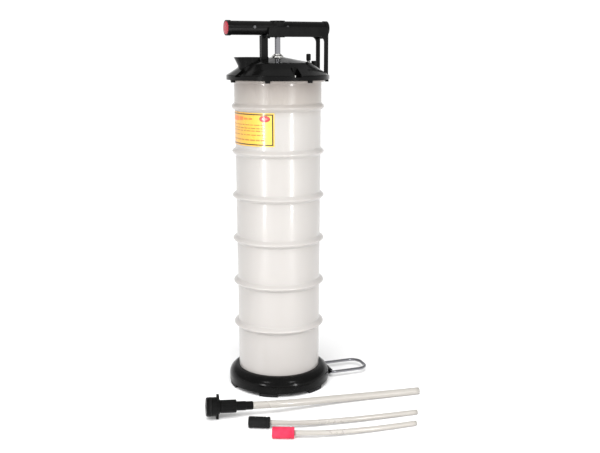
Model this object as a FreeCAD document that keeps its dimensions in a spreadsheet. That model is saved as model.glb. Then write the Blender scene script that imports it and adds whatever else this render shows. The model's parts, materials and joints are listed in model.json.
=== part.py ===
"""Fluid transfer pump: a milky ribbed tank with a hand vacuum pump in its lid, and loose hoses.

Millimetres. The origin is the centre of the base on the floor, +Z is up, and the front is -Y.
The tee handle and the carry handle lie along one line, "the span", turned about +Z from +X.
"""

import math
import os

import FreeCAD
import Part
import Sketcher
from FreeCAD import Placement, Rotation, Vector

SIZES = {
    # Tank
    "tank_radius": 73.0,
    "tank_foot_radius": 70.8,
    "tank_neck_radius": 74.0,
    "tank_wall": 2.5,
    "tank_floor_level": 9.0,
    "rib_crest_radius": 78.6,
    "rib_half_height": 5.0,
    "rib_pitch": 75.7,
    "top_rib_level": 491.0,
    "flange_radius": 80.0,
    "flange_level": 532.5,
    "flange_thickness": 4.0,
    "mouth_radius": 65.5,
    # Base
    "base_radius": 88.5,
    "base_top_level": 33.0,
    "foot_height": 5.0,
    "foot_width": 31.0,
    # Lid
    "lid_radius": 86.5,
    "lid_level": 537.5,
    "dome_level": 572.4,
    "screw_circle": 70.5,
    "screw_ledge_level": 541.2,
    "pocket_radius": 6.5,
    "port_distance": 52.0,
    "port_bore": 16.0,
    "port_wall": 2.5,
    "port_level": 573.0,
    # Handles
    "span_turn": 26.0,
    "tee_length": 184.0,
    "tee_radius": 11.5,
    "tee_level": 620.0,
    "tee_flange_radius": 12.5,
    "tee_flange_width": 6.5,
    "rail_inner": 12.9,
    "rail_thickness": 4.6,
    "rail_low": 606.0,
    "rail_high": 622.0,
    "column_place": 25.0,
    "post_place": 84.0,
    # Pump
    "rod_radius": 4.9,
    "running_gap": 0.05,
    "barrel_radius": 22.0,
    "barrel_bore": 20.0,
    "barrel_foot_level": 104.0,
    "barrel_top_level": 562.0,
    "piston_level": 121.0,
    "piston_length": 16.0,
    # Foot stirrup
    "stirrup_turn": 19.5,
    "stirrup_hinge": 92.0,
    "stirrup_level": 10.0,
    "wire_radius": 2.75,
    "stirrup_half_width": 24.6,
    "stirrup_reach": 164.0,
    "stirrup_corner": 18.0,
    # Valves in the lid
    "button_place": 52.0,
    "button_level": 567.0,
    # Label
    "label_low": 429.0,
    "label_high": 484.0,
    "label_thickness": 0.4,
    # Hoses
    "suction_tube_radius": 6.0,
    "probe_tube_radius": 4.0,
    "cap_radius": 9.0,
    "cap_length": 34.0,
    "nut_radius": 10.6,
}

LEAST_BEND = 5.0  # smallest bend radius of a tube, in tube diameters
RUN_SHARE = 0.45  # share of the shorter run that an arc takes up
RIBS = 6
FOOT_ROUND = 5.0
FEET = 6
LID_SCREWS = 5
LID_TABS = 7
FIRST_LID_SCREW = -47.5  # angles here are measured from the front towards +X
FIRST_LID_TAB = -10.0
FIRST_FOOT = -71.0
LABEL_START = -85.0
LABEL_SWEEP = 82.0
CAGE_SPOT = (36.0, 24.0)
VENT_SPOT = (61.5, 9.0)
HANDLE_SCREWS = ((-28.6, 0.0), (84.0, 15.2), (84.0, -15.2))  # along and across the span
GRIP_SCREWS = (-46.0, 14.0)

document = FreeCAD.newDocument("FluidPump")
sheet = document.addObject("Spreadsheet::Sheet", "Sheet")
finished = []


class Size:
    """A length that knows both its number and the spreadsheet formula that gives it."""

    def __init__(self, number, formula):
        self.number = number
        self.formula = formula

    def __add__(self, other):
        return Size(self.number + number(other), f"({self.formula} + {formula(other)})")

    def __sub__(self, other):
        return Size(self.number - number(other), f"({self.formula} - {formula(other)})")

    def __radd__(self, other):
        return Size(number(other) + self.number, f"({formula(other)} + {self.formula})")

    def __rsub__(self, other):
        return Size(number(other) - self.number, f"({formula(other)} - {self.formula})")

    def __mul__(self, other):
        return Size(self.number * number(other), f"({self.formula} * {formula(other)})")

    __rmul__ = __mul__

    def __neg__(self):
        return self * -1


def number(value):
    return value.number if isinstance(value, Size) else float(value)


def formula(value):
    return value.formula if isinstance(value, Size) else f"({float(value):.6f})"


def fill_sheet():
    """Put every driving size in the spreadsheet and return them by name."""
    sizes = {}
    for row, (alias, value) in enumerate(SIZES.items(), start=1):
        sheet.set(f"A{row}", alias)
        sheet.set(f"B{row}", str(value))
        sheet.setAlias(f"B{row}", alias)
        sizes[alias] = Size(value, f"Sheet.{alias}")
    document.recompute()
    return sizes


def set_place(item, x, y, z):
    for letter, value in zip("xyz", (x, y, z)):
        item.setExpression(f"Placement.Base.{letter}", formula(value))


def cylinder(radius, low, high, x=0, y=0, angle=360, turn=0):
    """An upright cylinder, or a sector of one that starts at the angle turn."""
    item = document.addObject("Part::Cylinder", "Cylinder")
    item.setExpression("Radius", formula(radius))
    item.setExpression("Height", formula(high - low))
    item.Angle = angle
    item.Placement = Placement(Vector(), Rotation(Vector(0, 0, 1), turn))
    set_place(item, x, y, low)
    return item


def level_cylinder(radius, start, end, direction, x=0, y=0, z=0):
    """A lying cylinder from start to end along "x" or "y", offset by the other two."""
    item = document.addObject("Part::Cylinder", "Cylinder")
    item.setExpression("Radius", formula(radius))
    item.setExpression("Height", formula(end - start))
    axis = Vector(1, 0, 0) if direction == "x" else Vector(0, 1, 0)
    item.Placement = Placement(Vector(), Rotation(Vector(0, 0, 1), axis))
    if direction == "x":
        set_place(item, start, y, z)
    else:
        set_place(item, x, start, z)
    return item


def box(x, y, z):
    """A box from its (low, high) pair on each axis."""
    item = document.addObject("Part::Box", "Box")
    for side, (low, high) in zip(("Length", "Width", "Height"), (x, y, z)):
        item.setExpression(side, formula(high - low))
    set_place(item, x[0], y[0], z[0])
    return item


def fuse(*items):
    item = document.addObject("Part::MultiFuse", "Fusion")
    item.Shapes = list(items)
    item.Refine = True
    return item


def cut(base, *tools):
    """The base less every tool; more than one tool is fused first."""
    item = document.addObject("Part::Cut", "Cut")
    item.Base = base
    item.Tool = tools[0] if len(tools) == 1 else fuse(*tools)
    item.Refine = True
    return item


def common(first, second):
    item = document.addObject("Part::Common", "Common")
    item.Base = first
    item.Tool = second
    return item


def turn_about_axis(item, angle):
    """Turn a whole item about the pump's own axis by an angle in degrees."""
    item.Placement = Placement(Vector(), Rotation(Vector(0, 0, 1), number(angle)))
    if isinstance(angle, Size):
        item.setExpression("Placement.Rotation.Angle", angle.formula)
    return item


def finish(item, name):
    item.Label = name
    finished.append(item)
    return item


def add_outline(sketch, outline):
    """Draw a closed outline of (x, y) points; (x, y, mid_x, mid_y) bends the edge that follows."""
    ends = []
    count = len(outline)
    for index, point in enumerate(outline):
        after = outline[(index + 1) % count]
        start = Vector(number(point[0]), number(point[1]), 0)
        end = Vector(number(after[0]), number(after[1]), 0)
        if len(point) == 4:
            middle = Vector(number(point[2]), number(point[3]), 0)
            sketch.addGeometry(Part.Arc(start, middle, end))
            anticlockwise = (middle - start).cross(end - middle).z > 0
            ends.append((1, 2) if anticlockwise else (2, 1))
        else:
            sketch.addGeometry(Part.LineSegment(start, end))
            ends.append((1, 2))
    for index in range(count):
        after = (index + 1) % count
        sketch.addConstraint(
            Sketcher.Constraint("Coincident", index, ends[index][1], after, ends[after][0])
        )
    for index, point in enumerate(outline):
        for kind, value, axis in (("DistanceX", point[0], -2), ("DistanceY", point[1], -1)):
            if abs(number(value)) < 1e-9:
                sketch.addConstraint(
                    Sketcher.Constraint("PointOnObject", index, ends[index][0], axis)
                )
                continue
            held = sketch.addConstraint(
                Sketcher.Constraint(kind, -1, 1, index, ends[index][0], number(value))
            )
            if isinstance(value, Size):
                sketch.setExpression(f"Constraints[{held}]", value.formula)


def sketch_on(body, role, outline):
    sketch = body.newObject("Sketcher::SketchObject", "Outline")
    planes = [item for item in body.Origin.OriginFeatures if item.Role == role]
    sketch.AttachmentSupport = (planes[0], [""])
    sketch.MapMode = "FlatFace"
    add_outline(sketch, outline)
    return sketch


def turned(outline):
    """A body turned about +Z from an outline of (radius, level) points."""
    body = document.addObject("PartDesign::Body", "Turned")
    sketch = sketch_on(body, "XZ_Plane", outline)
    turning = body.newObject("PartDesign::Revolution", "Turning")
    turning.Profile = sketch
    turning.ReferenceAxis = (sketch, ["V_Axis"])
    turning.Angle = 360
    return body


def flat_piece(outline, thickness, start):
    """A plate with its outline in the X-Z plane, from y = start to y = start + thickness."""
    body = document.addObject("PartDesign::Body", "Plate")
    sketch = sketch_on(body, "XZ_Plane", outline)
    pad = body.newObject("PartDesign::Pad", "Pad")
    pad.Profile = sketch
    pad.setExpression("Length", formula(thickness))
    pad.Reversed = True
    body.setExpression("Placement.Base.y", formula(start))
    return body


def rounded(body, radius, wanted):
    """Fillet the edges of a body whose middle point passes the test."""
    document.recompute()
    last = body.Tip
    names = []
    for index, edge in enumerate(last.Shape.Edges, start=1):
        middle = edge.valueAt((edge.FirstParameter + edge.LastParameter) / 2)
        if wanted(edge, middle):
            names.append(f"Edge{index}")
    fillet = body.newObject("PartDesign::Fillet", "Round")
    fillet.Base = (last, names)
    fillet.Radius = radius
    return body


def around(count, first=0):
    """Evenly spaced angles in degrees."""
    return [first + 360 * index / count for index in range(count)]


def facing(angle):
    """Sheet angle of a direction measured from the front towards +X."""
    return angle - 90


def lid_screw_spots(size):
    return ring_spots(size["screw_circle"], around(LID_SCREWS, facing(FIRST_LID_SCREW)))


def ring_spots(radius, angles):
    """(x, y) sizes of points on a circle, bound to its radius."""
    for angle in angles:
        turn = math.radians(angle)
        yield radius * math.cos(turn), radius * math.sin(turn)


def span_point(along, across=0.0):
    """(x, y) of a point given along and across the span."""
    turn = math.radians(SIZES["span_turn"])
    return (
        along * math.cos(turn) - across * math.sin(turn),
        along * math.sin(turn) + across * math.cos(turn),
    )


def aim(item, point, direction):
    """Lay an item made along +Z along a direction, its own Y as near upright as it can be."""
    forward = Vector(*direction).normalize()
    side = Vector(0, 0, 1).cross(forward).normalize()
    item.Placement = Placement(
        Vector(*point), Rotation(side, forward.cross(side), forward, "ZYX")
    )
    return item


def wall_radius(size, level):
    """Outer radius of the tank's plain wall at a level below the top rib."""
    height = SIZES["top_rib_level"] - SIZES["tank_floor_level"] - FOOT_ROUND
    taper = (SIZES["tank_radius"] - SIZES["tank_foot_radius"]) / height
    return size["tank_radius"] - (size["top_rib_level"] - level) * taper


def make_tank(size):
    """Blow-moulded tank: slightly tapered, ribbed outside, thick and flanged at its mouth."""
    floor = size["tank_floor_level"]
    rib = size["top_rib_level"]
    top = size["flange_level"] + size["flange_thickness"]
    foot = size["tank_foot_radius"]
    wall = size["tank_wall"]
    neck = size["tank_neck_radius"]
    half = size["rib_half_height"]
    outline = [(0, floor), (foot - FOOT_ROUND, floor), (foot, floor + FOOT_ROUND)]
    for index in reversed(range(RIBS)):
        level = rib - index * size["rib_pitch"]
        low = level - half
        high = level + half
        outline.append((wall_radius(size, low), low, size["rib_crest_radius"], level))
        outline.append((wall_radius(size, high) if index else neck, high))
    outline += [
        (neck, size["flange_level"]),
        (size["flange_radius"], size["flange_level"]),
        (size["flange_radius"], top),
        (0, top),
    ]
    inside = turned([
        (0, floor + 3),
        (foot - wall - 4, floor + 3),
        (foot - wall, floor + 7),
        (size["tank_radius"] - wall, rib),
        (neck - wall, rib + half),
        (neck - wall, rib + 19),
        (size["mouth_radius"], rib + 26),
        (size["mouth_radius"], top + 1),
        (0, top + 1),
    ])
    holes = [cylinder(2.1, top - 12, top + 1, x, y) for x, y in lid_screw_spots(size)]
    finish(cut(turned(outline), inside, *holes), "tank")


def make_base(size):
    """Black foot ring that cups the tank, with six feet and the stirrup's bracket."""
    outer = size["base_radius"]
    top = size["base_top_level"]
    cup = size["tank_foot_radius"] + 0.3
    foot = size["foot_height"]
    finish(turned([
        (30, foot),
        (outer - 1.5, foot),
        (outer, foot + 1.5),
        (outer, foot + 9.7),
        (outer, foot + 9.8, outer - 2.3, top - 8.2),
        (outer - 8.5, top - 2),
        (outer - 8.4, top - 2, outer - 11, top - 0.6),
        (outer - 14, top),
        (cup, top),
        (cup, size["tank_floor_level"]),
        (30, size["tank_floor_level"]),
    ]), "base_ring")
    sweep = math.degrees(SIZES["foot_width"] / (SIZES["base_radius"] - 6))
    for index, middle in enumerate(around(FEET, facing(FIRST_FOOT)), start=1):
        turn = middle - sweep / 2
        sector = cylinder(outer - 1.2, 0, foot, angle=sweep, turn=turn)
        core = cylinder(outer - 13, -1, foot + 1)
        finish(cut(sector, core), f"foot_pad_{index}")
    make_bracket(size)


def make_bracket(size):
    """Lug on the base that the stirrup's turned-in ends sit in."""
    hinge = size["stirrup_hinge"]
    level = size["stirrup_level"]
    low = size["foot_height"] + 0.3
    half = 18.6
    block = box((84, hinge), (-half, half), (low, level + 4.5))
    nose = level_cylinder(4.6, -half, half, "y", x=hinge, z=level)
    wire = size["wire_radius"] + size["running_gap"]
    bore = level_cylinder(wire, -half - 1, half + 1, "y", x=hinge, z=level)
    bracket = cut(fuse(block, nose), cylinder(size["base_radius"], 0, 30), bore)
    finish(turn_about_axis(bracket, size["stirrup_turn"]), "stirrup_bracket")


def corner_arc(before, point, after, radius):
    """Start, middle and end of the arc that rounds a corner of a route."""
    back = (before - point).normalize()
    onward = (after - point).normalize()
    half_opening = back.getAngle(onward) / 2
    setback = radius / math.tan(half_opening)
    centre = point + (back + onward).normalize() * (radius / math.sin(half_opening))
    middle = centre + (point - centre).normalize() * radius
    return point + back * setback, middle, point + onward * setback


def rounded_wire(points, radii):
    """Straight runs joined by tangent arcs."""
    edges = []
    here = points[0]
    for before, point, after, radius in zip(points, points[1:], points[2:], radii):
        start, middle, end = corner_arc(before, point, after, radius)
        edges.append(Part.LineSegment(here, start).toShape())
        edges.append(Part.Arc(start, middle, end).toShape())
        here = end
    edges.append(Part.LineSegment(here, points[-1]).toShape())
    return Part.Wire(edges)


def swept(points, radii, radius):
    """A round bar along a rounded route, checked against its section times its length."""
    path = rounded_wire(points, radii)
    section = Part.Wire([Part.Circle(points[0], points[1] - points[0], radius).toShape()])
    shape = path.makePipeShell([section], True, False)
    expected = math.pi * radius**2 * path.Length
    if abs(shape.Volume - expected) > 0.01 * expected:
        raise ValueError("a swept bar has the wrong volume")
    return shape, path.Length


def make_stirrup(size):
    """Wire loop that a foot holds down; it swings up against the tank."""
    hinge = number(size["stirrup_hinge"])
    half = number(size["stirrup_half_width"])
    reach = number(size["stirrup_reach"])
    corner = number(size["stirrup_corner"])
    level = number(size["stirrup_level"])
    hook_end = 7
    hook_bend = 5.5
    route = [
        (hinge, hook_end),
        (hinge, half),
        (reach, half),
        (reach, -half),
        (hinge, -half),
        (hinge, -hook_end),
    ]
    points = [Vector(x, y, level) for x, y in route]
    loop = document.addObject("Part::Feature", "Stirrup")
    radii = [hook_bend, corner, corner, hook_bend]
    loop.Shape = swept(points, radii, number(size["wire_radius"]))[0]
    finish(turn_about_axis(loop, size["stirrup_turn"]), "foot_stirrup")


def label_skin(size, extra):
    """A part cone that follows the tank's wall behind the label, a little further out."""
    low = size["label_low"]
    high = size["label_high"]
    item = document.addObject("Part::Cone", "Cone")
    item.setExpression("Radius1", formula(wall_radius(size, low) + extra))
    item.setExpression("Radius2", formula(wall_radius(size, high) + extra))
    item.setExpression("Height", formula(high - low))
    item.Angle = LABEL_SWEEP
    item.Placement = Placement(Vector(), Rotation(Vector(0, 0, 1), facing(LABEL_START)))
    set_place(item, 0, 0, low)
    return item


def make_label(size):
    """Thin sticker between the top two ribs, on the front left of the tank."""
    gap = 0.03
    outer = label_skin(size, size["label_thickness"] + gap)
    finish(cut(outer, label_skin(size, gap)), "label")


def spout(size, grow, top):
    """Pouring lip that flares out of the port on its outer side."""
    radius = size["port_bore"] + size["port_wall"] + grow
    flare = document.addObject("Part::Cone", "Flare")
    flare.setExpression("Radius1", formula(radius))
    flare.setExpression("Radius2", formula(radius + 7.0))
    flare.Height = 14
    set_place(flare, -size["port_distance"], 0, top - 14)
    slab = box(
        (-size["port_distance"] - 40, -size["port_distance"] - 4),
        (-9 - grow, 9 + grow),
        (top - 14, top),
    )
    return turn_about_axis(common(flare, slab), size["span_turn"])


def handle_seats(size):
    """The lid's pad under the column and the two lugs under the posts."""
    column = size["column_place"]
    post = size["post_place"]
    inner = size["rail_inner"]
    low = size["lid_level"] - 1.5
    seats = [box((-column - 6.6, -column + 6.2), (-5.2, 5.2), (low + 25, size["port_level"]))]
    for side in (-1, 1):
        edges = (inner - 1.6, inner + 6.0)
        across = edges if side > 0 else (-edges[1], -edges[0])
        seats.append(box((post - 7, post + 4.6), across, (low, low + 6)))
    return turn_about_axis(fuse(*seats), size["span_turn"])


def post_slots(size):
    """Room in the dome for the two posts above their lugs."""
    post = size["post_place"]
    inner = size["rail_inner"]
    low = size["lid_level"] + 4.5
    slots = []
    for side in (-1, 1):
        edges = (inner - 0.2, inner + size["rail_thickness"] + 0.2)
        across = edges if side > 0 else (-edges[1], -edges[0])
        slots.append(box((post - 3.7, post + 8), across, (low, low + 30)))
    return turn_about_axis(fuse(*slots), size["span_turn"])


def screw_pocket(size, angle):
    """The space over one lid screw: round behind it and open at the rim."""
    radius = size["pocket_radius"]
    low = size["screw_ledge_level"]
    high = size["dome_level"]
    place = size["screw_circle"]
    outlet = box((place, place + 20), (-radius, radius), (low, high))
    return turn_about_axis(fuse(cylinder(radius, low, high, place, 0), outlet), angle)


def make_lid(size):
    """Domed lid with the pour port, screw pockets, and seats for what it carries."""
    rim = size["lid_radius"]
    level = size["lid_level"]
    top = size["dome_level"]
    mouth = size["mouth_radius"]
    socket = size["barrel_radius"] + 0.15
    dome = turned([
        (7, top),
        (12, top, 35, top - 4.6),
        (58, level + 26, 64.5, level + 20.4),
        (71, level + 15.6),
        (rim - 2, level + 7, rim - 0.5, level + 6.2),
        (rim, level + 4.5),
        (rim, level - 1.5),
        (rim - 4.5, level - 1.5),
        (rim - 4.5, level),
        (mouth, level),
        (mouth - 1.5, level + 11, 45, level + 24),
        (26, level + 28.5),
        (26, level + 15),
        (socket, level + 15),
        (socket, size["barrel_top_level"]),
        (7, size["barrel_top_level"]),
    ])
    port_x, port_y = span_point(-1)
    port_x, port_y = port_x * size["port_distance"], port_y * size["port_distance"]
    port_top = size["port_level"]
    bore = size["port_bore"]
    neck = cylinder(bore + size["port_wall"], level + 7, port_top, port_x, port_y)
    button = size["button_level"]
    place = size["button_place"]
    cage_boss = cylinder(8, level + 16, level + 28, *CAGE_SPOT)
    button_boss = cylinder(8, button - 11, button - 4.5, place, 0)
    solid = fuse(dome, neck, cage_boss, button_boss, spout(size, 0, port_top), handle_seats(size))
    cuts = [
        cylinder(bore, level - 2, port_top + 1, port_x, port_y),
        spout(size, -2.2, port_top + 0.01),
        post_slots(size),
        cylinder(2.5, level, level + 27, *CAGE_SPOT),
        cylinder(5.8, button - 8, top + 2, place, 0),
        cylinder(4.6, button - 16, top, place, 0),
        cylinder(5.2, level + 20.5, top, *VENT_SPOT),
        cylinder(2.5, level + 8, top, *VENT_SPOT),
        cylinder(socket, level + 1, size["barrel_top_level"]),
        cylinder(rim - 4.5, level - 3, level),
    ]
    cuts += [screw_pocket(size, angle) for angle in around(LID_SCREWS, facing(FIRST_LID_SCREW))]
    for x, y in lid_screw_spots(size):
        cuts.append(cylinder(2.1, level - 2, level + 9, x, y))
    for spot in HANDLE_SCREWS:
        cuts.append(cylinder(1.6, level - 3, top + 1, *span_point(*spot)))
    tabs = [
        cylinder(4.2, level - 5.5, level - 1.5, x, y)
        for x, y in ring_spots(rim - 4.4, around(LID_TABS, facing(FIRST_LID_TAB)))
    ]
    inner_edge = cylinder(rim - 6, level - 6, level - 1)
    finish(fuse(cut(solid, *cuts), cut(fuse(*tabs), inner_edge)), "lid")


def make_lid_fittings(size):
    """Gasket, screws, vent, and the float valve that hangs under the lid."""
    level = size["lid_level"]
    seat = size["flange_level"] + size["flange_thickness"]
    finish(turned([(73.4, seat), (79.5, seat), (79.5, level), (73.4, level)]), "lid_gasket")
    ledge = size["screw_ledge_level"]
    for index, (x, y) in enumerate(lid_screw_spots(size), start=1):
        body = turned([
            (0, level - 11),
            (2, level - 11),
            (2, ledge),
            (3.6, ledge),
            (3.6, ledge + 1.2, 3.2, ledge + 2.6),
            (1.8, ledge + 3.3),
            (0, ledge + 3.3),
        ])
        slots = [
            box((-2.2, 2.2), (-0.45, 0.45), (ledge + 1.9, ledge + 5)),
            box((-0.45, 0.45), (-2.2, 2.2), (ledge + 1.9, ledge + 5)),
        ]
        screw = cut(body, *slots)
        set_place(screw, x, y, 0)
        finish(screw, f"lid_screw_{index}")
    vent = turned([
        (0, level + 16),
        (2.4, level + 16),
        (2.4, level + 20.5),
        (4.8, level + 20.5),
        (4.8, level + 22.3),
        (3.7, level + 22.3),
        (3.7, level + 23.5),
        (4.8, level + 23.5),
        (4.8, level + 25.1),
        (3.7, level + 25.1),
        (3.7, level + 26.3),
        (4.8, level + 26.3),
        (4.8, level + 27.6, 4.4, level + 28.6),
        (3.4, level + 29),
        (0, level + 29),
    ])
    set_place(vent, *VENT_SPOT, 0)
    finish(vent, "exhaust_vent")
    x, y = CAGE_SPOT
    cage = turned([
        (2.5, level + 13),
        (9.6, level + 13),
        (9.6, level - 25.5),
        (4, level - 25.5),
        (4, level - 28),
        (11.5, level - 28),
        (11.5, level + 16),
        (2.5, level + 16),
    ])
    windows = [
        box((-14, 14), (-3.2, 3.2), (level - 22, level + 8)),
        box((-3.2, 3.2), (-14, 14), (level - 22, level + 8)),
    ]
    cage = cut(cage, *windows)
    set_place(cage, x, y, 0)
    finish(cage, "float_cage")
    ball = document.addObject("Part::Sphere", "Ball")
    ball.Radius = 8
    set_place(ball, x, y, level - 17.3)
    finish(ball, "float_ball")


def make_release_button(size):
    """Spring-loaded vacuum release: seat in the lid, button with its valve disc, and spring."""
    level = size["button_level"]
    place = size["button_place"]
    seat = turned([
        (2.15, level - 11),
        (4.4, level - 11),
        (4.4, level - 8),
        (5.6, level - 8),
        (5.6, level - 4),
        (2.15, level - 4),
    ])
    button = turned([
        (0, level - 13.5),
        (4.2, level - 13.5),
        (4.2, level - 11.2),
        (2, level - 11.2),
        (2, level),
        (3.2, level),
        (3.9, level + 1),
        (3.9, level + 9, 3.5, level + 10.6),
        (2, level + 11.2),
        (0, level + 11.2),
    ])
    spring = turned([(2.4, level - 3.9), (3.3, level - 3.9), (3.3, level), (2.4, level)])
    for item, name in (
        (seat, "release_seat"),
        (button, "release_button"),
        (spring, "release_spring"),
    ):
        set_place(item, place, 0, 0)
        finish(item, name)


def make_carry_handle(size):
    """Fixed handle: a column and an open arch of two rails that the tee handle sinks between."""
    low = size["rail_low"]
    high = size["rail_high"]
    column = size["column_place"]
    post = size["post_place"]
    inner = size["rail_inner"]
    thick = size["rail_thickness"]
    bend = 9
    small = 5
    share = math.sqrt(0.5)
    foot = size["lid_level"] + 4.5
    left = -column + 2
    outline = [
        (left, low),
        (post - 3.5 - bend, low, post - 3.5 - bend * (1 - share), low - bend * (1 - share)),
        (post - 3.5, low - bend),
        (post - 3.5, foot),
        (post + 3.5, foot),
        (post + 3.5, high - small, post + 3.5 - small * (1 - share), high - small * (1 - share)),
        (post + 3.5 - small, high),
        (left + small, high, left + small * (1 - share), high - small * (1 - share)),
        (left, high - small),
    ]
    rails = [
        rounded(flat_piece(outline, thick, start), 1.2, long_outer_edge)
        for start in (inner, -inner - thick)
    ]
    yoke = box((-column - 1.5, -column + 5.6), (-inner - 0.5, inner + 0.5), (low - 3, low + 2))
    tie = box((post - 2, post + 3.5), (-inner - 0.5, inner + 0.5), (low - 3, low + 1))
    column_box = box((-column - 6, -column + 5.6), (-4.5, 4.5), (size["port_level"], low + 2))
    frame = fuse(*rails, yoke, tie, column_box)
    bores = []
    for along, across in HANDLE_SCREWS:
        start = size["lid_level"] - 2
        bores.append(cylinder(1.6, start, start + (56 if along < 0 else 18), along, across))
    finish(turn_about_axis(cut(frame, *bores), size["span_turn"]), "carry_handle")
    make_handle_screws(size)


def long_outer_edge(edge, middle):
    """Edges that run round a rail's flat faces, for a small round."""
    return abs(edge.BoundBox.YLength) < 0.01 and middle.z > 560 and edge.Length > 3


def make_handle_screws(size):
    """Screws that come up through the lid into the column and the posts."""
    level = size["lid_level"]
    for index, (along, across) in enumerate(HANDLE_SCREWS, start=1):
        under, length = (level + 23.5, 28) if along < 0 else (level - 1.5, 16)
        head = cylinder(2.4, under - 2.5, under)
        shank = cylinder(1.5, under, under + length)
        screw = fuse(head, shank)
        set_place(screw, *span_point(along, across), 0)
        finish(screw, f"handle_screw_{index}")


def make_tee_handle(size):
    """Tee handle on top of the pump rod, with its end plugs and grip screws."""
    level = size["tee_level"]
    half = size["tee_length"] * 0.5
    radius = size["tee_radius"]
    flange = size["tee_flange_radius"]
    width = size["tee_flange_width"]
    bar = level_cylinder(radius, -half, half, "x", z=level)
    flanges = [
        level_cylinder(flange, -half, width - half, "x", z=level),
        level_cylinder(flange, half - width, half, "x", z=level),
    ]
    hub = cylinder(flange, level - 15, level + 12.3)
    recesses = [
        level_cylinder(10.6, -half - 1, 9 - half, "x", z=level),
        level_cylinder(10.6, half - 9, half + 1, "x", z=level),
    ]
    socket = cylinder(size["rod_radius"] + size["running_gap"], level - 16, level - 6.5)
    holes = []
    for index, along in enumerate(GRIP_SCREWS, start=1):
        holes.append(level_cylinder(2.6, -13, -10.4, "y", x=along, z=level + 1.5))
        holes.append(level_cylinder(1.3, -10.5, -4, "y", x=along, z=level + 1.5))
        head = level_cylinder(2.4, -11.9, -10.4, "y", x=along, z=level + 1.5)
        shank = level_cylinder(1.2, -10.4, -4.5, "y", x=along, z=level + 1.5)
        finish(turn_about_axis(fuse(head, shank), size["span_turn"]), f"grip_screw_{index}")
    tee = cut(fuse(bar, hub, *flanges), *recesses, socket, *holes)
    finish(turn_about_axis(tee, size["span_turn"]), "tee_handle")
    for name, side in (("left", -1), ("right", 1)):
        plug = turned([
            (0, -8.8),
            (10.5, -8.8),
            (10.5, 0.1, 10.2, 0.6),
            (9.4, 0.8, 5.5, 1.3),
            (2, 1.5),
            (0, 1.5),
        ])
        point = (*span_point(side * number(half)), number(level))
        finish(aim(plug, point, (*span_point(side), 0)), f"end_plug_{name}")


def make_pump(size):
    """Barrel, rod, piston and the valves of the vacuum pump."""
    rod = size["rod_radius"]
    gap = size["running_gap"]
    bore = size["barrel_bore"]
    outer = size["barrel_radius"]
    foot = size["barrel_foot_level"]
    top = size["barrel_top_level"]
    piston = size["piston_level"]
    length = size["piston_length"]
    barrel = cut(cylinder(outer, foot, top), cylinder(bore, foot - 1, top + 1))
    finish(barrel, "pump_barrel")
    finish(turned([
        (6, foot - 6),
        (outer, foot - 6),
        (outer, foot),
        (bore - 0.15, foot),
        (bore - 0.15, foot + 6),
        (6, foot + 6),
    ]), "barrel_end")
    finish(cylinder(11, foot + 6.1, foot + 8), "inlet_valve_disc")
    finish(turned([
        (rod + gap, top + 0.1),
        (6.9, top + 0.1),
        (6.9, top + 10.5),
        (10.5, top + 10.5),
        (10.5, top + 11.7, 9.6, top + 13),
        (7.6, top + 13.6),
        (6.6, top + 16),
        (rod + gap, top + 16),
    ]), "rod_bushing")
    finish(turned([
        (rod + gap, top - 4),
        (bore - 0.2, top - 4),
        (bore - 0.2, top - 0.1),
        (rod + gap, top - 0.1),
    ]), "rod_seal")
    finish(cylinder(rod, piston - 4, size["tee_level"] - 6.6), "pump_rod")
    finish(turned([
        (rod + gap, piston),
        (bore - 0.5, piston),
        (bore - 0.5, piston + 4),
        (bore - 3, piston + 4),
        (bore - 3, piston + 10),
        (bore - 0.5, piston + 10),
        (bore - 0.5, piston + length),
        (rod + gap, piston + length),
    ]), "piston")
    finish(turned([
        (bore - 2.95, piston + 4.1),
        (bore - gap, piston + 4.1),
        (bore - gap, piston + 9.9),
        (bore - 2.95, piston + 9.9),
    ]), "piston_seal")
    hexagon = document.addObject("Part::Prism", "Hexagon")
    hexagon.Polygon = 6
    hexagon.Circumradius = 8.5
    hexagon.Height = 4
    set_place(hexagon, 0, 0, piston - 4)
    finish(cut(hexagon, cylinder(rod + gap, piston - 5, piston + 1)), "piston_nut")


def make_fitting(size):
    """Bayonet fitting of the suction hose; it lies on one wing in front of the pump."""
    start = (-114.0, -176.0, 21.0)
    along = (75.0, 14.0, -3.0)
    turned_plug = turned([
        (7, 0),
        (14, 0),
        (15.5, 1.5),
        (15.5, 5),
        (14.2, 5),
        (14.2, 8),
        (15.5, 8),
        (15.5, 16.5),
        (12, 16.5),
        (12, 22),
        (8.4, 22),
        (8.4, 49.4),
        (7, 49.4),
    ])
    blade = common(box((-6, 6), (-21, 21), (16.6, 20.6)), cylinder(20.3, 16, 23))
    plug = fuse(turned_plug, cut(blade, cylinder(10, 15, 24)))
    finish(aim(plug, start, along), "fitting_plug")
    ring = turned([(14.3, 5.1), (15.2, 5.1, 15.75, 6.5), (15.2, 7.9), (14.3, 7.9)])
    finish(aim(ring, start, along), "fitting_ring")
    nut_radius = size["nut_radius"]
    nut = turned([
        (8.7, 22.4),
        (nut_radius - 0.6, 22.4),
        (nut_radius, 23),
        (nut_radius, 48.4),
        (nut_radius - 0.6, 49),
        (8.7, 49),
    ])
    flutes = [
        cylinder(0.9, 24.5, 47, x, y)
        for x, y in ring_spots(nut_radius + 0.5, around(16))
    ]
    finish(aim(cut(nut, *flutes), start, along), "fitting_nut")
    sleeve = turned([
        (0, 49.5),
        (7.5, 49.5),
        (7.5, 64),
        (6.9, 65),
        (6.9, 75.4),
        (6.3, 76.35),
        (0, 76.35),
    ])
    finish(aim(sleeve, start, along), "fitting_sleeve")


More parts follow.
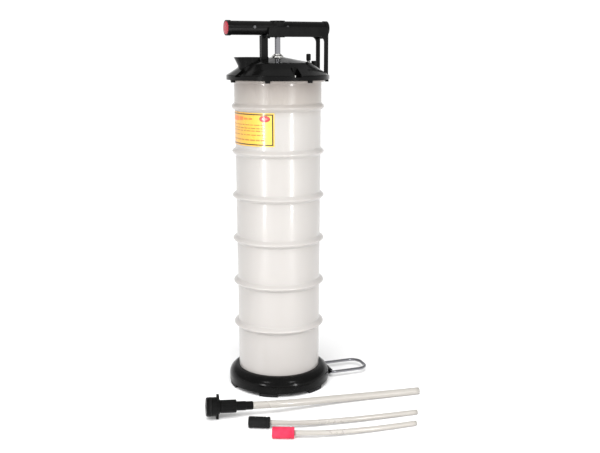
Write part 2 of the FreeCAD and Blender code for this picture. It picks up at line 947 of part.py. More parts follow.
def make_tube(name, route, radius):
    """A free tube: straight runs and the largest arcs that its runs allow."""
    points = [Vector(*point) for point in route]
    radii = []
    for before, point, after in zip(points, points[1:], points[2:]):
        shorter = min((point - before).Length, (after - point).Length)
        turn = (point - before).getAngle(after - point)
        radii.append(RUN_SHARE * shorter / math.tan(turn / 2))
    if min(radii) < LEAST_BEND * 2 * radius:
        raise ValueError(f"{name} bends too tightly")
    shape, length = swept(points, radii, radius)
    print(name, "length", round(length, 1), "radii", [round(bend) for bend in radii])
    tube = document.addObject("Part::Feature", "Tube")
    tube.Shape = shape
    finish(tube, name)


def make_hoses(size):
    """The suction hose's tube and the two capped probe tubes, lying on the floor."""
    make_fitting(size)
    make_tube("suction_tube", [
        (-39.0, -162.0, 18.0),
        (-9.5, -156.3, 16.8),
        (37.0, -138.2, 13.2),
        (88.0, -118.0, 10.2),
        (140.0, -100.0, 7.6),
        (193.0, -84.5, 6.3),
        (243.0, -70.5, 6.05),
    ], number(size["suction_tube_radius"]))
    radius = size["cap_radius"]
    length = size["cap_length"]
    for name, mouth, along, route in CAPPED_TUBES:
        cap = turned([
            (0, 0),
            (radius - 0.9, 0),
            (radius, 0.9),
            (radius, length - 7),
            (radius - 0.5, length - 6.4),
            (radius - 0.5, length - 4.6),
            (radius, length - 4),
            (radius, length - 0.9),
            (radius - 0.9, length),
            (0, length),
        ])
        back = Vector(*along).normalize() * number(length)
        finish(aim(cap, tuple(Vector(*mouth) - back), along), f"{name}_cap")
        make_tube(f"{name}_probe_tube", [mouth, *route], number(size["probe_tube_radius"]))


CAPPED_TUBES = (
    ("black", (-9.5, -208.5, 9.0), (33.5, -2.5, 0.0), [
        (14.0, -210.3, 8.8),
        (46.0, -207.8, 8.0),
        (90.0, -198.0, 6.9),
        (132.0, -187.0, 5.9),
        (181.5, -172.0, 5.0),
        (229.0, -157.0, 4.3),
    ]),
    ("red", (29.0, -246.0, 9.0), (34.0, -1.0, 0.0), [
        (52.0, -246.9, 8.8),
        (92.0, -241.3, 7.6),
        (138.0, -229.0, 6.2),
        (182.0, -214.6, 5.0),
        (222.0, -200.0, 4.3),
    ]),
)


def write_parts():
    """Check every object and write one STEP file for each finished piece."""
    document.recompute()
    for item in document.Objects:
        if "Invalid" in item.State or "Error" in item.State:
            raise ValueError(f"{item.Name} ({item.Label}) did not compute: {item.State}")
    os.makedirs("parts", exist_ok=True)
    for item in finished:
        shape = item.Shape
        if shape.isNull() or not shape.isValid() or not shape.Solids:
            raise ValueError(f"{item.Label} has no valid solid")
        if len(shape.Solids) != 1:
            raise ValueError(f"{item.Label} has {len(shape.Solids)} solids")
        shape.exportStep(os.path.join("parts", f"{item.Label}.step"))


sizes = fill_sheet()
make_tank(sizes)
make_base(sizes)
make_stirrup(sizes)
make_label(sizes)
make_lid(sizes)
make_lid_fittings(sizes)
make_release_button(sizes)
make_carry_handle(sizes)
make_tee_handle(sizes)
make_pump(sizes)
make_hoses(sizes)
write_parts()
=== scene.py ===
"""Looks of the fluid transfer pump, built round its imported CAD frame. Metres, +Z up, front at -Y."""

import json
import math
import random

import bmesh
import bpy
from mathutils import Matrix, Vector, noise


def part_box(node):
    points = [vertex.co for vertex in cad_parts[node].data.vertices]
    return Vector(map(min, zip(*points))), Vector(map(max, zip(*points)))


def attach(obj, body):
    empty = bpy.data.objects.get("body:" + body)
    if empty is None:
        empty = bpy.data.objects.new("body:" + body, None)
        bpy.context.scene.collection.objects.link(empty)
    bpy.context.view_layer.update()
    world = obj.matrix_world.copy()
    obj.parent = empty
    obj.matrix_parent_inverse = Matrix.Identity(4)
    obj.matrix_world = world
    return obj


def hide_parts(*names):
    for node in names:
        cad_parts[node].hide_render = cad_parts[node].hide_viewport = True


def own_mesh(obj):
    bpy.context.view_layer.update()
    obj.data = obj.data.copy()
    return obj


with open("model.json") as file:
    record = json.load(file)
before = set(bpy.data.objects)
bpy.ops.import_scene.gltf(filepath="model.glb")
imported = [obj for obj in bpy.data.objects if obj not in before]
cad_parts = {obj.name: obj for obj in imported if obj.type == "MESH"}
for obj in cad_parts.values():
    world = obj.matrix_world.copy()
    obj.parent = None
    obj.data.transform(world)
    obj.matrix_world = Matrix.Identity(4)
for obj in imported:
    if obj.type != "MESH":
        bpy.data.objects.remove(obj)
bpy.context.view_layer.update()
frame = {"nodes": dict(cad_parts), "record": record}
nodes = frame["nodes"]

MM = 0.001


# ---------------------------------------------------------------- materials


class Shader:
    """A Principled material whose colour, roughness and bump come from nodes."""

    def __init__(self, name, colour, roughness, **sockets):
        self.material = bpy.data.materials.new(name)
        self.material.use_nodes = True
        self.tree = self.material.node_tree
        self.surface = self.tree.nodes["Principled BSDF"]
        self.surface.inputs["Base Color"].default_value = (*colour, 1)
        self.surface.inputs["Roughness"].default_value = roughness
        for label, value in sockets.items():
            self.surface.inputs[label.replace("_", " ")].default_value = value
        self.place = self.node("ShaderNodeTexCoord").outputs["Object"]

    def node(self, kind, **settings):
        made = self.tree.nodes.new(kind)
        for label, value in settings.items():
            setattr(made, label, value)
        return made

    def link(self, output, target):
        self.tree.links.new(output, target)

    def scaled(self, stretch):
        mapping = self.node("ShaderNodeMapping")
        mapping.inputs["Scale"].default_value = stretch
        self.link(self.place, mapping.inputs["Vector"])
        return mapping.outputs["Vector"]

    def noise(self, scale, detail=4, stretch=(1, 1, 1)):
        made = self.node("ShaderNodeTexNoise")
        made.inputs["Scale"].default_value = scale
        made.inputs["Detail"].default_value = detail
        self.link(self.scaled(stretch), made.inputs["Vector"])
        return made.outputs["Fac"]

    def ramp(self, factor, stops):
        made = self.node("ShaderNodeValToRGB")
        elements = made.color_ramp.elements
        while len(elements) < len(stops):
            elements.new(0.5)
        for element, (position, colour) in zip(elements, stops):
            element.position = position
            element.color = (*colour, 1)
        self.link(factor, made.inputs["Fac"])
        return made.outputs["Color"]

    def grey_ramp(self, factor, low, high, start=0.35, end=0.65):
        return self.ramp(factor, [(start, (low,) * 3), (end, (high,) * 3)])

    def axis(self, letter):
        split = self.node("ShaderNodeSeparateXYZ")
        self.link(self.place, split.inputs["Vector"])
        return split.outputs[letter]

    def span(self, factor, low, high):
        """Map a value from low..high to 0..1."""
        made = self.node("ShaderNodeMapRange")
        made.inputs["From Min"].default_value = low
        made.inputs["From Max"].default_value = high
        self.link(factor, made.inputs["Value"])
        return made.outputs["Result"]

    def colour(self, output):
        self.link(output, self.surface.inputs["Base Color"])
        return self

    def rough(self, scale, low, high, stretch=(1, 1, 1)):
        output = self.grey_ramp(self.noise(scale, 5, stretch), low, high)
        self.link(output, self.surface.inputs["Roughness"])
        return self

    def bump(self, factor, strength, distance):
        made = self.node("ShaderNodeBump")
        made.inputs["Strength"].default_value = strength
        made.inputs["Distance"].default_value = distance
        self.link(factor, made.inputs["Height"])
        earlier = self.surface.inputs["Normal"].links
        if earlier:
            self.link(earlier[0].from_socket, made.inputs["Normal"])
        self.link(made.outputs["Normal"], self.surface.inputs["Normal"])
        return self


def tank_plastic():
    """Milky blow-moulded plastic: clear enough to glow, with painted shade in the band just under the
    lid and slightly darker towards the bottom.
    """
    shader = Shader(
        "tank_plastic", (0.6, 0.58, 0.56), 0.3,
        Subsurface_Weight=0.15, Subsurface_Scale=0.008, Specular_IOR_Level=0.35,
        Coat_Weight=0.3, Coat_Roughness=0.06,
    )
    shader.surface.inputs["Subsurface Radius"].default_value = (1.0, 0.9, 0.8)
    height = shader.span(shader.axis("Z"), 0.0, 0.54)
    # painted shade: the colour darkens in the band just under the lid, where the lid shades the tank;
    # it is also slightly darker towards the bottom
    body = shader.ramp(height, [
        (0.0, (0.37, 0.345, 0.33)),
        (0.10, (0.41, 0.392, 0.378)),
        (0.88, (0.415, 0.398, 0.382)),
        (0.925, (0.34, 0.312, 0.288)),
        (0.985, (0.26, 0.232, 0.212)),
    ])
    cloud = shader.ramp(shader.noise(3, 0, (1, 1, 0.5)), [
        (0.0, (0.97, 0.962, 0.955)),
        (1.0, (1.0, 1.0, 1.0)),
    ])
    mix = shader.node("ShaderNodeMix", data_type="RGBA", blend_type="MULTIPLY")
    mix.inputs["Factor"].default_value = 1.0
    shader.link(body, mix.inputs["A"])
    shader.link(cloud, mix.inputs["B"])
    shader.colour(mix.outputs["Result"])
    shader.rough(3, 0.28, 0.31)
    return shader.material


def gloss_black(name, tone, low, high, grain=0.05):
    """Black moulded plastic with a trace of grain and handling wear in its gloss."""
    shader = Shader(name, (tone,) * 3, low, Specular_IOR_Level=0.11)
    shader.colour(shader.ramp(shader.noise(25, 4), [
        (0.3, (tone * 0.7,) * 3),
        (0.7, (tone * 1.35, tone * 1.33, tone * 1.3)),
    ]))
    shader.rough(60, low, high)
    shader.bump(shader.noise(900, 2), grain, 0.0003)
    return shader.material


def rubber(name, dark, light):
    """Matt rubber, slightly dusty, with a fine moulded grain."""
    shader = Shader(name, dark, 0.6, Specular_IOR_Level=0.2)
    shader.colour(shader.ramp(shader.noise(70, 5), [(0.35, dark), (0.7, light)]))
    shader.rough(120, 0.5, 0.72)
    shader.bump(shader.noise(1400, 2), 0.25, 0.0003)
    return shader.material


def metal(name, tone, low, high, stretch=(1, 1, 1)):
    """Metal with fine drawn or turned marks."""
    shader = Shader(name, tone, low, Metallic=1.0)
    shader.colour(shader.ramp(shader.noise(50, 4), [
        (0.3, tuple(part * 0.9 for part in tone)),
        (0.7, tone),
    ]))
    shader.rough(500, low, high, stretch)
    shader.bump(shader.noise(700, 2, stretch), 0.03, 0.0002)
    return shader.material


def red_plastic():
    shader = Shader("red_plastic", (0.4, 0.006, 0.02), 0.3, Coat_Weight=0.1)
    shader.colour(shader.ramp(shader.noise(60, 3), [
        (0.3, (0.30, 0.004, 0.02)),
        (0.7, (0.40, 0.01, 0.032)),
    ]))
    shader.rough(90, 0.26, 0.4)
    shader.bump(shader.noise(900, 2), 0.08, 0.0003)
    return shader.material


def white_plastic():
    shader = Shader("white_plastic", (0.83, 0.83, 0.80), 0.45)
    shader.colour(shader.ramp(shader.noise(40, 3), [
        (0.3, (0.78, 0.78, 0.75)),
        (0.7, (0.86, 0.86, 0.83)),
    ]))
    shader.rough(90, 0.38, 0.52)
    shader.bump(shader.noise(800, 2), 0.06, 0.0003)
    return shader.material


def tube_plastic():
    """Milky tubing: lets some light through, greyer where it has been handled."""
    shader = Shader(
        "tube_plastic", (0.4, 0.38, 0.35), 0.28,
        Transmission_Weight=0.12, IOR=1.45, Coat_Weight=0.3, Coat_Roughness=0.1,
    )
    shader.colour(shader.ramp(shader.noise(5, 0), [
        (0.0, (0.375, 0.352, 0.318)),
        (1.0, (0.42, 0.40, 0.37)),
    ]))
    shader.rough(8, 0.26, 0.32)
    return shader.material


def label_yellow():
    """Printed film: amber on its left, yellow on its right."""
    shader = Shader("label_yellow", (0.95, 0.62, 0.05), 0.3, Coat_Weight=0.4, Coat_Roughness=0.1)
    across = shader.span(shader.axis("X"), -0.074, -0.004)
    shader.colour(shader.ramp(across, [
        (0.0, (0.66, 0.32, 0.03)),
        (0.55, (0.72, 0.43, 0.05)),
        (1.0, (0.72, 0.49, 0.08)),
    ]))
    shader.rough(80, 0.25, 0.36)
    shader.bump(shader.noise(500, 2), 0.04, 0.0002)
    return shader.material


def print_ink(name, dark, light):
    """Ink with the slight unevenness of a screen print."""
    shader = Shader(name, dark, 0.35, Coat_Weight=0.3)
    shader.colour(shader.ramp(shader.noise(260, 3), [(0.35, dark), (0.7, light)]))
    shader.rough(200, 0.3, 0.42)
    return shader.material


def floor_paper():
    shader = Shader("floor_paper", (0.93, 0.93, 0.93), 0.8)
    shader.colour(shader.ramp(shader.noise(2, 3), [(0.0, (0.93,) * 3), (1.0, (0.935,) * 3)]))
    return shader.material


looks = {
    "tank_plastic": tank_plastic(),
    "black_plastic": gloss_black("black_plastic", 0.003, 0.13, 0.22),
    "handle_plastic": gloss_black("handle_plastic", 0.004, 0.26, 0.38, 0.12),
    "satin_black": gloss_black("satin_black", 0.003, 0.28, 0.4, 0.1),
    "foot_rubber": rubber("foot_rubber", (0.006, 0.006, 0.007), (0.016, 0.016, 0.016)),
    "black_rubber": rubber("black_rubber", (0.002, 0.002, 0.002), (0.006, 0.006, 0.006)),
    "red_rubber": rubber("red_rubber", (0.50, 0.02, 0.055), (0.60, 0.04, 0.085)),
    "red_plastic": red_plastic(),
    "chrome": metal("chrome", (0.3, 0.3, 0.32), 0.05, 0.14),
    "screw_steel": metal("screw_steel", (0.86, 0.85, 0.82), 0.18, 0.32),
    "dark_steel": metal("dark_steel", (0.12, 0.12, 0.125), 0.3, 0.42),
    "white_plastic": white_plastic(),
    "tube_plastic": tube_plastic(),
    "label_film": label_yellow(),
}


# ---------------------------------------------------------------- mesh helpers


def piece(name, points, faces, body, slot, materials=None, face_slots=None, smooth=True):
    """A mesh object that rides on a body and takes its finish from a record slot."""
    mesh = bpy.data.meshes.new(name)
    mesh.from_pydata([tuple(point) for point in points], [], faces)
    for material in materials or [looks[slot]]:
        mesh.materials.append(material)
    if face_slots:
        mesh.polygons.foreach_set("material_index", face_slots)
    mesh.polygons.foreach_set("use_smooth", [smooth] * len(mesh.polygons))
    mesh.update()
    made = bpy.data.objects.new(name, mesh)
    bpy.context.scene.collection.objects.link(made)
    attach(made, body)
    return made


def grid_faces(rows, columns, closed_rows=False, closed_columns=False):
    """Quads between neighbouring rows and columns of a grid of points."""
    faces = []
    for row in range(rows if closed_rows else rows - 1):
        for column in range(columns if closed_columns else columns - 1):
            right = (column + 1) % columns
            below = (row + 1) % rows
            faces.append((
                row * columns + column,
                row * columns + right,
                below * columns + right,
                below * columns + column,
            ))
    return faces


def at_angle(radius, azimuth, height):
    """Point at an azimuth measured from the front towards +X."""
    turn = math.radians(azimuth)
    return Vector((radius * math.sin(turn), -radius * math.cos(turn), height))


# ---------------------------------------------------------------- tank

TANK_LOW, TANK_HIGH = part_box("tank")
RIB_LEVELS = [(491.0 - 75.7 * index) * MM for index in range(6)]
WALL = 2.5 * MM


def tank_wall_radius(height):
    """Plain outer radius of the tank, without ribs."""
    taper = min((height - 14 * MM) / (477 * MM), 1)
    radius = (70.8 + 2.2 * taper) * MM
    above = min(max((height - RIB_LEVELS[0]) / (5 * MM), 0), 1)
    return radius + above * 0.95 * MM


def bead(height):
    """How far the ribs stand out of the wall: rounded crests with soft roots."""
    out = 0.0
    for level in RIB_LEVELS:
        away = abs(height - level) / (6.8 * MM)
        if away < 1:
            crest = 78.55 * MM - tank_wall_radius(level)
            out = max(out, crest * (0.5 + 0.5 * math.cos(math.pi * away)) ** 0.8)
    return out


def tank_profile():
    """(radius, height) round the tank's section: outside upwards, then inside downwards."""
    floor = TANK_LOW[2]
    top = TANK_HIGH[2]
    outside = [(0.5 * MM, floor), (62 * MM, floor)]
    for step in range(1, 7):
        turn = math.pi / 2 * step / 6
        outside.append((
            (65.3 + 5.5 * math.sin(turn)) * MM,
            floor + 5.5 * MM * (1 - math.cos(turn)),
        ))
    height = floor + 6.5 * MM
    flange = top - 4 * MM
    while height < flange - 1.5 * MM:
        outside.append((tank_wall_radius(height) + bead(height), height))
        near = min(abs(height - level) for level in RIB_LEVELS) < 11.5 * MM
        height += 0.6 * MM if near else 4 * MM
    outside += [
        (74.1 * MM, flange - 0.8 * MM),
        (75.2 * MM, flange),
        (79.5 * MM, flange + 0.1 * MM),
        (79.9 * MM, flange + 0.6 * MM),
        (79.9 * MM, top - 0.4 * MM),
        (79.4 * MM, top - 0.1 * MM),
    ]
    inside = [(65.8 * MM, top - 0.1 * MM), (65.5 * MM, top - 0.5 * MM), (65.5 * MM, 0.517)]
    height = 0.510
    while height > floor + 9 * MM:
        inside.append((tank_wall_radius(height) + 0.7 * bead(height) - WALL, height))
        near = min(abs(height - level) for level in RIB_LEVELS) < 11 * MM
        height -= 1.8 * MM if near else 5 * MM
    inside += [(64 * MM, floor + 3 * MM), (0.5 * MM, floor + 3 * MM)]
    return outside + inside


def make_tank():
    """Turned shell with the slight waviness and the two mould seams of a blown tank."""
    around = 240
    profile = tank_profile()
    points = []
    for radius, height in profile:
        for column in range(around):
            turn = 2 * math.pi * column / around
            wave = noise.noise(Vector((math.cos(turn) * 1.4, math.sin(turn) * 1.4, height * 9)))
            body = 60 * MM < radius and 0.02 < height < 0.52
            seam = 0.22 * MM * math.exp(-((math.sin(turn) / 0.012) ** 2)) if body else 0.0
            bulge = 0.22 * MM * wave if body else 0.0
            reach = radius + seam + bulge
            points.append((reach * math.cos(turn), reach * math.sin(turn), height))
    faces = grid_faces(len(profile), around, closed_rows=True, closed_columns=True)
    made = piece("tank_shell", points, faces, "pump_body", "tank_plastic")
    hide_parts("tank")


# ---------------------------------------------------------------- label

LABEL = {"left": -85.0, "right": -3.0, "low": 429 * MM, "high": 484 * MM}
INKS = ("film", "border", "heading", "badge", "badge_light", "bars")


def label_patch(points, faces, slots, area, lift, ink):
    """Add one patch of the label: area is (left, right, low, high) in degrees and metres."""
    left, right, low, high = area
    across = max(2, int(abs(right - left) / 1.2) + 1)
    up = max(2, int((high - low) / (3 * MM)) + 1)
    start = len(points)
    for row in range(up):
        height = low + (high - low) * row / (up - 1)
        for column in range(across):
            azimuth = left + (right - left) * column / (across - 1)
            points.append(at_angle(tank_wall_radius(height) + lift, azimuth, height))
    for face in grid_faces(up, across):
        faces.append(tuple(start + corner for corner in face))
        slots.append(INKS.index(ink))


def label_oval(points, faces, slots, centre, radii, lift, ink):
    """Add an oval patch, with its centre in degrees and metres."""
    azimuth, height = centre
    count = 40
    start = len(points)
    points.append(at_angle(tank_wall_radius(height) + lift, azimuth, height))
    for step in range(count):
        turn = 2 * math.pi * step / count
        level = height + radii[1] * math.sin(turn)
        place = azimuth + radii[0] * math.cos(turn)
        points.append(at_angle(tank_wall_radius(level) + lift, place, level))
    for step in range(count):
        faces.append((start, start + 1 + step, start + 1 + (step + 1) % count))
        slots.append(INKS.index(ink))


def make_label():
    """Sticker with a dark frame, an oval badge and plain bars where the print would be."""
    random.seed(7)
    left, right, low, high = (LABEL[key] for key in ("left", "right", "low", "high"))
    points, faces, slots = [], [], []
    film, printed = 0.45 * MM, 0.52 * MM
    label_patch(points, faces, slots, (left, right, low, high), film, "film")
    inset = 1.9 * MM
    line = 1.9 * MM
    side = math.degrees(2.3 * MM / 0.073)
    bounds = (left, right - side * 0.75)
    frame_bars = [
        (bounds[0], bounds[1], high - inset - line, high - inset),
        (bounds[0], bounds[1], low + inset, low + inset + line),
        (bounds[1] - side, bounds[1], low + inset, high - inset),
    ]
    for area in frame_bars:
        label_patch(points, faces, slots, area, printed, "border")
    place = left + 3
    for width, tall in ((9, 7.0), (11, 7.6), (9, 6.4), (7, 3.2), (6, 2.4)):
        middle = high - 10.2 * MM
        area = (place, place + width, middle - tall / 2 * MM, middle + tall / 2 * MM)
        label_patch(points, faces, slots, area, printed, "heading")
        place += width + 1.6
    badge = (-15.8, high - 9.6 * MM)
    label_oval(points, faces, slots, badge, (7.4, 5.4 * MM), printed, "border")
    label_oval(points, faces, slots, badge, (6.7, 4.7 * MM), printed + 0.05 * MM, "badge")
    label_oval(points, faces, slots, badge, (3.4, 2.1 * MM), printed + 0.1 * MM, "badge_light")
    for drop, tall in ((20, 1.7), (25.5, 2.0), (29.8, 2.0), (36.5, 1.8), (44.8, 2.4)):
        place = left + 3 + random.uniform(0, 2)
        while place < right - 15:
            width = min(random.uniform(3.5, 8.5), right - 12 - place)
            middle = high - drop * MM
            area = (place, place + width, middle - tall / 2 * MM, middle + tall / 2 * MM)
            label_patch(points, faces, slots, area, printed, "bars")
            place += width + random.uniform(0.9, 1.6)
    materials = [
        looks["label_film"],
        print_ink("ink_border", (0.035, 0.02, 0.006), (0.06, 0.035, 0.01)),
        print_ink("ink_heading", (0.72, 0.13, 0.02), (0.82, 0.2, 0.03)),
        print_ink("ink_badge", (0.55, 0.008, 0.012), (0.68, 0.015, 0.02)),
        print_ink("ink_badge_light", (0.85, 0.12, 0.10), (0.9, 0.2, 0.16)),
        print_ink("ink_bars", (0.34, 0.16, 0.02), (0.45, 0.22, 0.03)),
    ]
    made = piece(
        "label_print", points, faces, "pump_body", "label_film", materials, slots
    )
    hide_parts("label")


# ---------------------------------------------------------------- tubes


def smooth_route(route):
    """Centreline of a tube: points read from the route's NURBS spline."""
    curve = bpy.data.curves.new("route", "CURVE")
    curve.dimensions = "3D"
    curve.resolution_u = 10
    spline = curve.splines.new("NURBS")
    spline.points.add(len(route) - 1)
    for point, place in zip(spline.points, route):
        point.co = (*(part * MM for part in place), 1)
    spline.order_u = 3
    spline.use_endpoint_u = True
    holder = bpy.data.objects.new("route", curve)
    line = bpy.data.meshes.new_from_object(holder)
    points = [vertex.co.copy() for vertex in line.vertices]
    bpy.data.objects.remove(holder)
    bpy.data.meshes.remove(line)
    return points


def make_tube(name, route, radius, bore, body):
    """Hollow tube along a route; its far end is cut square and shows the bore."""
    path = smooth_route(route)
    sides = 28
    rings = []
    across = Vector((0, 0, 1))
    for index, place in enumerate(path):
        ahead = path[min(index + 1, len(path) - 1)] - path[max(index - 1, 0)]
        ahead.normalize()
        across = (across - ahead * across.dot(ahead)).normalized()
        rings.append((place, across.copy(), ahead.cross(across)))
    bore_rings = 3  # how far the bore goes in from the cut end
    ends = [(ring, radius) for ring in rings]
    ends += [(ring, bore) for ring in reversed(rings[-1 - bore_rings:])]
    points = []
    for (place, first, second), reach in ends:
        for side in range(sides):
            turn = 2 * math.pi * side / sides
            points.append(place + (first * math.cos(turn) + second * math.sin(turn)) * reach)
    faces = grid_faces(len(ends), sides, closed_columns=True)
    faces.append(tuple(reversed(range(sides))))
    faces.append(tuple(range(len(points) - sides, len(points))))
    made = piece(name + "_skin", points, faces, body, "tube_plastic")
    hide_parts(name)
    return made, path


TUBES = {
    "suction_tube": {
        "body": "suction_hose",
        "radius": 6.0,
        "bore": 4.3,
        "length": 0.297,
        "on_it": ["fitting_plug", "fitting_ring", "fitting_nut", "fitting_sleeve"],
        "route": [
            (-39.0, -162.0, 18.0),
            (-9.5, -156.3, 16.8),
            (37.0, -138.2, 13.2),
            (88.0, -118.0, 10.2),
            (140.0, -100.0, 7.6),
            (193.0, -84.5, 6.3),
            (243.0, -70.5, 6.05),
        ],
    },
    "black_probe_tube": {
        "body": "black_hose",
        "radius": 4.0,
        "bore": 2.8,
        "length": 0.245,
        "on_it": ["black_cap"],
        "route": [
            (-9.5, -208.5, 9.0),
            (14.0, -210.3, 8.8),
            (46.0, -207.8, 8.0),
            (90.0, -198.0, 6.9),
            (132.0, -187.0, 5.9),
            (181.5, -172.0, 5.0),
            (229.0, -157.0, 4.3),
        ],
    },
    "red_probe_tube": {
        "body": "red_hose",
        "radius": 4.0,
        "bore": 2.8,
        "length": 0.2,
        "on_it": ["red_cap"],
        "route": [
            (29.0, -246.0, 9.0),
            (52.0, -246.9, 8.8),
            (92.0, -241.3, 7.6),
            (138.0, -229.0, 6.2),
            (182.0, -214.6, 5.0),
            (222.0, -200.0, 4.3),
        ],
    },
}


def make_tubes():
    for name, facts in TUBES.items():
        radius = facts["radius"] * MM
        made, path = make_tube(name, facts["route"], radius, facts["bore"] * MM, facts["body"])


# ---------------------------------------------------------------- release spring


def make_spring():
    """Coil round the release button's stem."""
    low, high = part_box("release_spring")
    centre = (low + high) / 2
    wire = 0.3 * MM
    coil = (high[0] - low[0]) / 2 - wire
    turns, steps, sides = 3.5, 28, 8
    count = int(turns * steps)
    points = []
    for index in range(count + 1):
        turn = 2 * math.pi * index / steps
        level = low[2] + wire + (high[2] - low[2] - 2 * wire) * index / count
        outward = Vector((math.cos(turn), math.sin(turn), 0))
        middle = Vector((centre[0], centre[1], level)) + outward * coil
        for side in range(sides):
            angle = 2 * math.pi * side / sides
            out_of_wire = outward * math.cos(angle) + Vector((0, 0, 1)) * math.sin(angle)
            points.append(middle + out_of_wire * wire)
    faces = grid_faces(count + 1, sides, closed_columns=True)
    faces.append(tuple(reversed(range(sides))))
    faces.append(tuple(range(len(points) - sides, len(points))))
    made = piece("release_coil", points, faces, "pump_body", "screw_steel")
    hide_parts("release_spring")
    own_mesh(made)


# ---------------------------------------------------------------- softened CAD pieces

SOFTENED = {  # node: width of the rounded edge, in metres
    "lid": 0.0006,
    "carry_handle": 0.0008,
    "tee_handle": 0.0006,
    "base_ring": 0.0008,
    "stirrup_bracket": 0.0006,
    "fitting_plug": 0.0005,
}


def soften(name, width):
    """Stand a copy with small rounded edges in for a CAD node."""
    source = nodes[name]
    part = next(item for item in frame["record"]["subparts"] if item["node"] == name)
    mesh = source.data.copy()
    mesh.name = name + "_soft"
    work = bmesh.new()
    work.from_mesh(mesh)
    bmesh.ops.remove_doubles(work, verts=work.verts, dist=1e-6)
    flat = math.radians(0.5)
    bmesh.ops.dissolve_limit(work, angle_limit=flat, verts=work.verts, edges=work.edges)
    sharp = [
        edge for edge in work.edges
        if len(edge.link_faces) == 2 and edge.calc_face_angle(0) > math.radians(38)
    ]
    bmesh.ops.bevel(
        work, geom=sharp, offset=width, segments=2, profile=0.5, affect="EDGES",
        clamp_overlap=True, offset_type="OFFSET",
    )
    for face in work.faces:
        face.smooth = True
    work.to_mesh(mesh)
    work.free()
    mesh.materials.clear()
    mesh.materials.append(looks[part["material_slot"]])
    made = bpy.data.objects.new(name + "_soft", mesh)
    bpy.context.scene.collection.objects.link(made)
    made.matrix_world = source.matrix_world.copy()
    bodies = frame["record"]["behaviour"]["bodies"]
    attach(made, next(body for body, held in bodies.items() if name in held))
    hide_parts(name)
    normals = made.modifiers.new("normals", "WEIGHTED_NORMAL")
    normals.keep_sharp = True
    return made


# ---------------------------------------------------------------- carried-over CAD nodes


def dress_cad_nodes():
    """Give each CAD node that stays visible the material of its record slot."""
    for part in frame["record"]["subparts"]:
        material = looks[part["material_slot"]]
        mesh = nodes[part["node"]].data
        mesh.materials.clear()
        mesh.materials.append(material)


# ---------------------------------------------------------------- studio

CAMERA_PLACE = (0.0377, -1.4986, 0.590)
CAMERA_DIP = 11.62  # degrees below level
LENS = 52.5
OVERHEAD_STRENGTH = 2.7
OVERHEAD_SPREAD = 55  # degrees

def area_light(name, place, aim, size, power):
    data = bpy.data.lights.new(name, "AREA")
    data.shape = "RECTANGLE"
    data.size, data.size_y = size
    data.energy = power
    light = bpy.data.objects.new(name, data)
    light.location = place
    light.rotation_euler = (Vector(aim) - Vector(place)).to_track_quat("-Z", "Y").to_euler()
    bpy.context.scene.collection.objects.link(light)


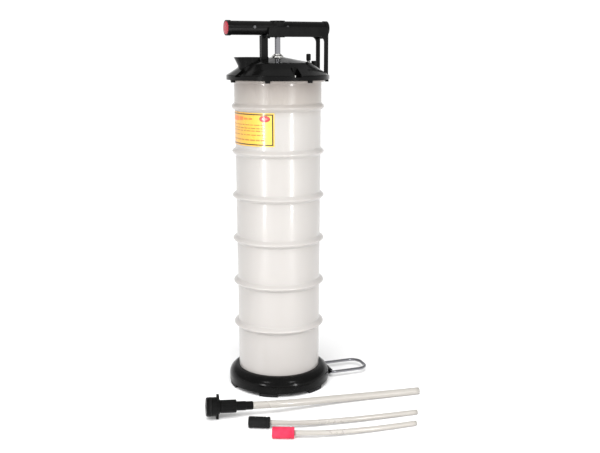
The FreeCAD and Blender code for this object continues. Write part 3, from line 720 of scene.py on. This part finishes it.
def make_surroundings():
    """White horizon under a greyer room that darkens to both sides, so round things have edges."""
    world = bpy.data.worlds.new("studio")
    world.use_nodes = True
    tree = world.node_tree
    background = tree.nodes["Background"]
    split = tree.nodes.new("ShaderNodeSeparateXYZ")
    place = tree.nodes.new("ShaderNodeTexCoord")
    tree.links.new(place.outputs["Generated"], split.inputs["Vector"])
    tones = []
    for letter, stops in (
        ("X", [(0.0, 0.25), (0.2, 0.4), (0.35, 0.55), (0.65, 0.55), (0.8, 0.4), (1.0, 0.25)]),
        ("Z", [(0.0, 1.0), (0.57, 1.0), (0.64, 0.0), (1.0, 0.0)]),
    ):
        spread = tree.nodes.new("ShaderNodeMapRange")
        spread.inputs["From Min"].default_value = -1
        tree.links.new(split.outputs[letter], spread.inputs["Value"])
        ramp = tree.nodes.new("ShaderNodeValToRGB")
        while len(ramp.color_ramp.elements) < len(stops):
            ramp.color_ramp.elements.new(0.5)
        for element, (position, tone) in zip(ramp.color_ramp.elements, stops):
            element.position = position
            element.color = (tone, tone, tone, 1)
        tree.links.new(spread.outputs["Result"], ramp.inputs["Fac"])
        tones.append(ramp.outputs["Color"])
    horizon = tree.nodes.new("ShaderNodeMix")
    horizon.data_type = "RGBA"
    tree.links.new(tones[1], horizon.inputs["Factor"])
    tree.links.new(tones[0], horizon.inputs["A"])
    horizon.inputs["B"].default_value = (1, 1, 1, 1)
    tree.links.new(horizon.outputs["Result"], background.inputs["Color"])
    background.inputs["Strength"].default_value = 1.05
    bpy.context.scene.world = world


def make_studio():
    """White paper floor, surroundings, soft boxes, overhead light and the camera."""
    mesh = bpy.data.meshes.new("paper")
    reach = 12  # metres from the middle to each side of the floor
    corners = [(-reach, -reach, 0), (reach, -reach, 0), (reach, reach, 0), (-reach, reach, 0)]
    mesh.from_pydata(corners, [], [(0, 1, 2, 3)])
    mesh.materials.append(floor_paper())
    paper = bpy.data.objects.new("paper", mesh)
    bpy.context.scene.collection.objects.link(paper)
    make_surroundings()
    area_light("left_box", (-0.66, -0.95, 0.25), (0, 0, 0.28), (0.11, 0.34), 4.2)
    area_light("right_box", (0.70, -0.92, 0.25), (0, 0, 0.28), (0.09, 0.34), 4.2)
    area_light("left_high", (-0.62, -0.9, 1.15), (0, 0, 0.2), (0.2, 0.3), 2.5)
    area_light("right_high", (0.66, -0.88, 1.15), (0, 0, 0.2), (0.2, 0.3), 2.5)
    sun = bpy.data.lights.new("overhead", "SUN")
    sun.energy = OVERHEAD_STRENGTH
    sun.angle = math.radians(OVERHEAD_SPREAD)
    overhead = bpy.data.objects.new("overhead", sun)
    overhead.visible_glossy = False  # too broad a glare on the black plastic
    overhead.rotation_euler = Vector((0.05, 0.6, -1)).to_track_quat("-Z", "Y").to_euler()
    bpy.context.scene.collection.objects.link(overhead)
    camera_data = bpy.data.cameras.new("camera")
    camera_data.sensor_width = 36
    camera_data.lens = LENS
    camera = bpy.data.objects.new("camera", camera_data)
    camera.location = CAMERA_PLACE
    camera.rotation_euler = (math.radians(90 - CAMERA_DIP), 0, 0)
    bpy.context.scene.collection.objects.link(camera)
    bpy.context.scene.camera = camera
    bpy.context.scene.view_settings.view_transform = "Standard"


dress_cad_nodes()
softened = {name: soften(name, width) for name, width in SOFTENED.items()}
make_tank()
make_label()
make_tubes()
make_spring()
make_studio()
